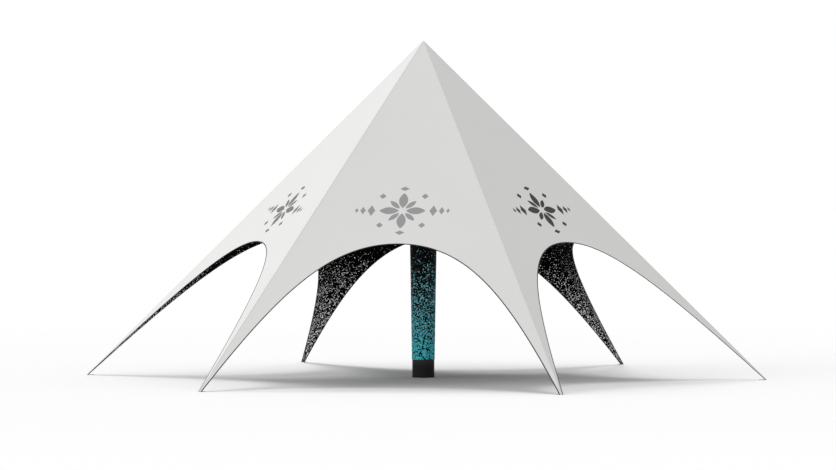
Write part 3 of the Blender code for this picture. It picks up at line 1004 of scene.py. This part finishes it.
def build_sleeve_stitches():
    """A ring of stitches in each hem and a row along each side of the seam."""
    thread = Pile()
    for z in (DRUM_TOP + SLEEVE_HEM - 0.004, SLEEVE_TOP - SLEEVE_HEM + 0.004):
        radius = sleeve_radius(z) + 0.0002
        bearing = np.linspace(0.0, math.tau, int(math.tau * radius / 0.0075), endpoint=False)
        along = np.stack([-np.sin(bearing), np.cos(bearing), 0.0 * bearing], 1)
        out = round_points(1.0, bearing, 0.0)
        stitches(thread, round_points(radius, bearing, z), along, out, length=0.0055)
    stitch_z = np.arange(DRUM_TOP + 0.02, SLEEVE_TOP - 0.02, STITCH_PITCH)
    for across in (-0.0045, 0.0045):
        bearing = seam_bearing(across)
        places = round_points(sleeve_radius(stitch_z) + 0.0007, bearing, stitch_z)
        stitches(thread, places, (0.0, 0.0, 1.0), round_points(1.0, bearing, 0.0))
    return thread.object("sleeve_stitches", dark_thread)


sleeve = build_sleeve()
sleeve_seam = build_sleeve_seam()
sleeve_stitches = build_sleeve_stitches()
add_piece(sleeve, "sleeve_cloth", "sleeve")
for piece in (sleeve_seam, sleeve_stitches):
    add_piece(piece, "sleeve_cloth")


def build_drum():
    """The moulded cover at the mast's foot: rounded rim, a groove, and a foot bead."""
    radius = DRUM_RADIUS
    top = DRUM_TOP - 0.0003
    profile = [(radius - DRUM_WALL, 0.0005), (radius - 0.001, 0.0005), (radius + 0.0012, 0.0016)]
    profile += [(radius + 0.0016, 0.005), (radius + 0.0012, 0.0088), (radius - 0.0012, 0.0105)]
    profile += [(radius - 0.0014, 0.0125), (radius - 0.0002, 0.0142), (radius, 0.017)]
    profile += [(radius, 0.12), (radius, top - 0.006), (radius - 0.0006, top - 0.0025)]
    profile += [(radius - 0.002, top - 0.0006), (radius - DRUM_WALL, top)]
    return lathe("drum_cover", profile, 160, plastic, 35)


add_piece(build_drum(), "moulded_plastic", "base_drum")


# The crown patch under the peak

PATCH_DEPTH = 0.0036
PATCH_THICK = 0.0016
PATCH_BOTTOM = PEAK - PATCH_DROP
PATCH_EACH = 9


def pyramid_ring(depth, height):
    """Points round the pyramid at a height and depth, with each of its six sides in even parts."""
    reach = float(under_ridge(1, 0.0, np.array([height]), depth, 0.0)[0, 0])
    corners = round_points(reach, np.array(LEG_BEARINGS), height)
    ring = []
    for a, b in zip(corners, np.roll(corners, -1, axis=0)):
        ring += [a + (b - a) * m / PATCH_EACH for m in range(PATCH_EACH)]
    return ring


def build_crown_patch():
    """Doubled cloth under the peak: two layers joined along their lower edge, each with its own tip."""
    layers = (PATCH_DEPTH, PATCH_DEPTH + PATCH_THICK)
    lower = [PATCH_BOTTOM, PATCH_BOTTOM + 0.002]
    heights = np.concatenate([lower, np.linspace(PATCH_BOTTOM + 0.02, PEAK - 0.04, 14)])
    points = []
    for depth in layers:
        for z in heights:
            tuck = 0.0 if z > PATCH_BOTTOM else PATCH_THICK * 0.3
            points += pyramid_ring(depth + tuck, z)
    around, count = 6 * PATCH_EACH, len(heights)
    shift, last, tip = count * around, (count - 1) * around, len(points)
    points += [(0.0, 0.0, PEAK - depth / math.cos(SLOPE)) for depth in layers]
    faces = doubled_faces(count, around)
    faces += [(b, a, shift + a, shift + b) for a, b in pairs(around)]
    for a, b in pairs(around):
        faces += [(last + a, last + b, tip), (shift + last + b, shift + last + a, tip + 1)]
    points = np.array(points)
    made = new_mesh("peak_patch", points, faces, [lining], uv=points[:, :2])
    return turn_outward(made, sharp=20)


def build_patch_stitches():
    """Two rings of stitches along the patch's lower edge."""
    thread = Pile()
    under = PATCH_DEPTH + PATCH_THICK
    for bearing in GORE_BEARINGS:
        for height in (PATCH_BOTTOM + 0.008, PATCH_BOTTOM + 0.02):
            t = slope_t(height, under)
            limit = ridge_s(t, under) - 0.02
            s = np.arange(-limit, limit, STITCH_PITCH)
            line = np.stack([s, np.full(len(s), t)], 1)
            turn = np.tile([1.0, 0.0], (len(s), 1))
            gore_stitches(thread, line, turn, under, bearing, -1.0)
    return thread.object("peak_patch_stitches", dark_thread)


add_piece(build_crown_patch(), "lining_cloth", "crown_patch")
add_piece(build_patch_stitches(), "lining_cloth")


# Carried over nodes

FINISHES = {
    "mast_head": plastic,
    "mast_collar": plastic,
    "base_lid": plastic,
    "mast_upper_tube": alloy,
    "mast_lower_tube": alloy,
    "sleeve_top_ring": alloy,
    "mast_foot": steel,
}
FINISHES.update({f"tip_fitting_{name}": steel for name in LEGS})
for name, finish in FINISHES.items():
    slots = NODES[name].data.materials
    slots.clear()
    slots.append(finish)


# Camera, floor and light

# The nearest and farthest that the camera sees, and how far out the floor begins and ends to fade
CAMERA_SEES = (1.0, 600.0)
FLOOR_FADE = (10.0, 32.0)
LENS_MM = 199.443
SENSOR_MM = 36.0
CAMERA_PLACE = (9.306, -66.739, 3.456)
CAMERA_DEGREES = (88.8236, -0.02, 8.0047)
FLOOR_HALF = 150.0
FLOOR_DROP = 0.0005

# The surround's strength on surfaces, and each lamp's bearing, lift and width in degrees and power
SURROUND = 0.704
LAMPS = (
    ("key_lamp", 128.0, 47.0, 20.0, 1.023),
    ("top_lamp", 106.0, 79.0, 18.0, 0.808),
    ("fill_lamp", 220.0, 22.5, 44.0, 0.817),
)
LAMP_DISTANCE = 20.0
WHITE = (1.0, 1.0, 1.0, 1.0)


def build_floor():
    """A matt floor, faintly clouded near the tent and a little lighter far away."""
    g = Graph("studio_floor", Roughness=0.9, Specular_IOR_Level=0.0)
    near = g.mix(g.noise(0.4, 2.0), (0.758, 0.758, 0.758), (0.763, 0.763, 0.763))
    g.colour(g.mix(g.ramp(g.reach(), *FLOOR_FADE, smooth=True), near, (0.79, 0.79, 0.79)))
    corners = ((-1, -1), (1, -1), (1, 1), (-1, 1))
    points = [(x * FLOOR_HALF, y * FLOOR_HALF, -FLOOR_DROP) for x, y in corners]
    new_mesh("studio_floor", points, [(0, 1, 2, 3)], [g.material], smooth=False)


def light_the_studio():
    """An even white surround, seen at full white, and three soft lamps: back left, above, front left."""
    world = bpy.data.worlds.new("studio")
    world.use_nodes = True
    tree = world.node_tree
    glow = tree.nodes["Background"]
    glow.inputs["Color"].default_value = WHITE
    glow.inputs["Strength"].default_value = SURROUND
    seen = tree.nodes.new("ShaderNodeBackground")
    seen.inputs["Color"].default_value = WHITE
    path = tree.nodes.new("ShaderNodeLightPath")
    choice = tree.nodes.new("ShaderNodeMixShader")
    tree.links.new(path.outputs["Is Camera Ray"], choice.inputs[0])
    tree.links.new(glow.outputs[0], choice.inputs[1])
    tree.links.new(seen.outputs[0], choice.inputs[2])
    tree.links.new(choice.outputs[0], tree.nodes["World Output"].inputs["Surface"])
    bpy.context.scene.world = world
    for name, bearing, lift, wide, power in LAMPS:
        lamp = bpy.data.lights.new(name, "SUN")
        lamp.energy = power
        lamp.angle = math.radians(wide)
        bearing, lift = math.radians(bearing), math.radians(lift)
        level = math.cos(lift)
        source = Vector((math.cos(bearing) * level, math.sin(bearing) * level, math.sin(lift)))
        made = bpy.data.objects.new(name, lamp)
        made.rotation_euler = source.to_track_quat("Z", "Y").to_euler()
        made.location = source * LAMP_DISTANCE
        bpy.context.scene.collection.objects.link(made)


def build_camera():
    """The photo's own camera: a long lens, far in front and as high as the tent's upper half."""
    lens = bpy.data.cameras.new("camera")
    lens.lens = LENS_MM
    lens.sensor_width = SENSOR_MM
    lens.clip_start, lens.clip_end = CAMERA_SEES
    made = bpy.data.objects.new("camera", lens)
    made.location = CAMERA_PLACE
    made.rotation_euler = tuple(math.radians(angle) for angle in CAMERA_DEGREES)
    bpy.context.scene.collection.objects.link(made)
    bpy.context.scene.camera = made


build_floor()
light_the_studio()
build_camera()
bpy.context.scene.view_settings.view_transform = "Standard"
